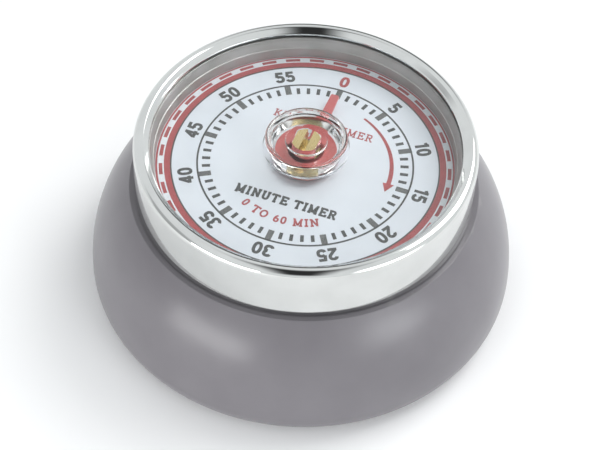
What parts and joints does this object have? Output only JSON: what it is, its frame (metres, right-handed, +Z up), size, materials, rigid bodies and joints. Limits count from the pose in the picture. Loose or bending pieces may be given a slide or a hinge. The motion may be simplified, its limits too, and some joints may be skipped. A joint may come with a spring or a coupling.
{
  "type": "kitchen timer",
  "caption": "Round wind-up kitchen timer: flared grey magnetic base, chrome rim, clear lens over a printed dial, split brass shaft with clear knob, red pointer, and clockwork with a gong.",
  "frame": {"origin": "centre of the underside, on the surface it stands on", "axes": "+Z up along the axis of the dial, shaft and knob; +Y towards the zero mark of the dial"},
  "size_m": [0.075, 0.075, 0.0342],
  "materials": {
    "grey_paint": "smooth semi-gloss grey finish",
    "chrome_rim": "polished",
    "clear_lens": "clear, polished",
    "black_rubber": "matt",
    "satin_ring": "satin, turned",
    "dial_white": "satin white print ground",
    "back_plastic": "fine moulded texture",
    "screw_steel": "zinc plated",
    "magnet_nickel": "nickel plated",
    "gong_steel": "bright, spun",
    "nut_brass": "turned",
    "plate_brass": "satin, stamped",
    "pillar_steel": "turned",
    "spring_steel": "blued grey",
    "clear_knob": "clear acrylic, polished",
    "pointer_red": "gloss red",
    "shaft_brass": "turned, polished",
    "arbor_steel": "polished",
    "wheel_brass": "stamped, polished",
    "lever_steel": "stamped, zinc plated"
  },
  "bodies": {
    "case": {"base_shell": "grey_paint", "bezel": "chrome_rim", "lens": "clear_lens", "lens_gasket": "black_rubber", "reflector_ring": "satin_ring", "dial_plate": "dial_white", "back_cover": "back_plastic", "cover_screws": "screw_steel", "magnets": "magnet_nickel", "gong_post": "screw_steel", "gong": "gong_steel", "gong_nut": "nut_brass", "front_plate": "plate_brass", "back_plate": "plate_brass", "pillars": "pillar_steel", "pillar_nuts": "screw_steel", "movement_screws": "screw_steel", "shaft_bush": "nut_brass", "spring_post": "pillar_steel", "mainspring": "spring_steel", "hairspring": "spring_steel", "hairspring_stud": "nut_brass"},
    "setting_shaft": {"knob": "clear_knob", "pointer": "pointer_red", "main_arbor": "shaft_brass", "arbor_clip": "spring_steel", "trip_cam": "pillar_steel", "ratchet_wheel": "arbor_steel", "main_wheel": "wheel_brass", "click_pawl": "arbor_steel", "click_rivet": "screw_steel", "click_spring": "spring_steel"},
    "second_wheel_set": {"second_wheel": "wheel_brass", "second_arbor": "arbor_steel"},
    "third_wheel_set": {"third_wheel": "wheel_brass", "third_arbor": "arbor_steel"},
    "escape_wheel_set": {"escape_wheel": "wheel_brass", "escape_arbor": "arbor_steel"},
    "pallet_set": {"pallet_lever": "lever_steel", "pallet_pins": "arbor_steel", "pallet_arbor": "arbor_steel"},
    "balance_set": {"balance_wheel": "wheel_brass", "balance_staff": "arbor_steel", "impulse_pin": "arbor_steel"},
    "strike_wheel_set": {"strike_wheel": "arbor_steel", "strike_arbor": "arbor_steel"},
    "hammer_set": {"hammer_arbor": "arbor_steel", "hammer_arm": "lever_steel", "hammer_head": "nut_brass", "hammer_pallet": "lever_steel", "trip_lever": "lever_steel"}
  },
  "joints": [
    {"name": "knob_turn", "type": "hinge", "parent": "case", "child": "setting_shaft", "pos_m": [0, 0, 0.0274], "axis": [0, 0, 1], "range_deg": [-360, 0]},
    {"name": "second_spin", "type": "hinge", "parent": "case", "child": "second_wheel_set", "pos_m": [-0.01316, -0.00479, 0.018], "axis": [0, 0, 1], "range_deg": [0, 2160]},
    {"name": "third_spin", "type": "hinge", "parent": "case", "child": "third_wheel_set", "pos_m": [-0.00744, -0.01359, 0.018], "axis": [0, 0, 1], "range_deg": [-10800, 0]},
    {"name": "escape_spin", "type": "hinge", "parent": "case", "child": "escape_wheel_set", "pos_m": [0.00062, -0.01598, 0.018], "axis": [0, 0, 1], "range_deg": [0, 64800]},
    {"name": "strike_spin", "type": "hinge", "parent": "case", "child": "strike_wheel_set", "pos_m": [-0.009, 0.01072, 0.018], "axis": [0, 0, 1], "range_deg": [0, 2160]},
    {"name": "pallet_rock", "type": "hinge", "parent": "case", "child": "pallet_set", "pos_m": [0.00676, -0.01512, 0.018], "axis": [0, 0, 1], "range_deg": [-6, 6]},
    {"name": "balance_swing", "type": "hinge", "parent": "case", "child": "balance_set", "pos_m": [0.0143, -0.01022, 0.018], "axis": [0, 0, 1], "range_deg": [-18.6, 18.6]},
    {"name": "hammer_swing", "type": "hinge", "parent": "case", "child": "hammer_set", "pos_m": [-0.00492, 0.01835, 0.018], "axis": [0, 0, 1], "range_deg": [-4, 0]}
  ],
  "couplings": [
    {"joint": "second_spin", "follows": "knob_turn", "ratio": -6},
    {"joint": "third_spin", "follows": "knob_turn", "ratio": 30},
    {"joint": "escape_spin", "follows": "knob_turn", "ratio": -180},
    {"joint": "strike_spin", "follows": "knob_turn", "ratio": -6},
    {"joint": "balance_swing", "follows": "pallet_rock", "ratio": -3.09}
  ]
}
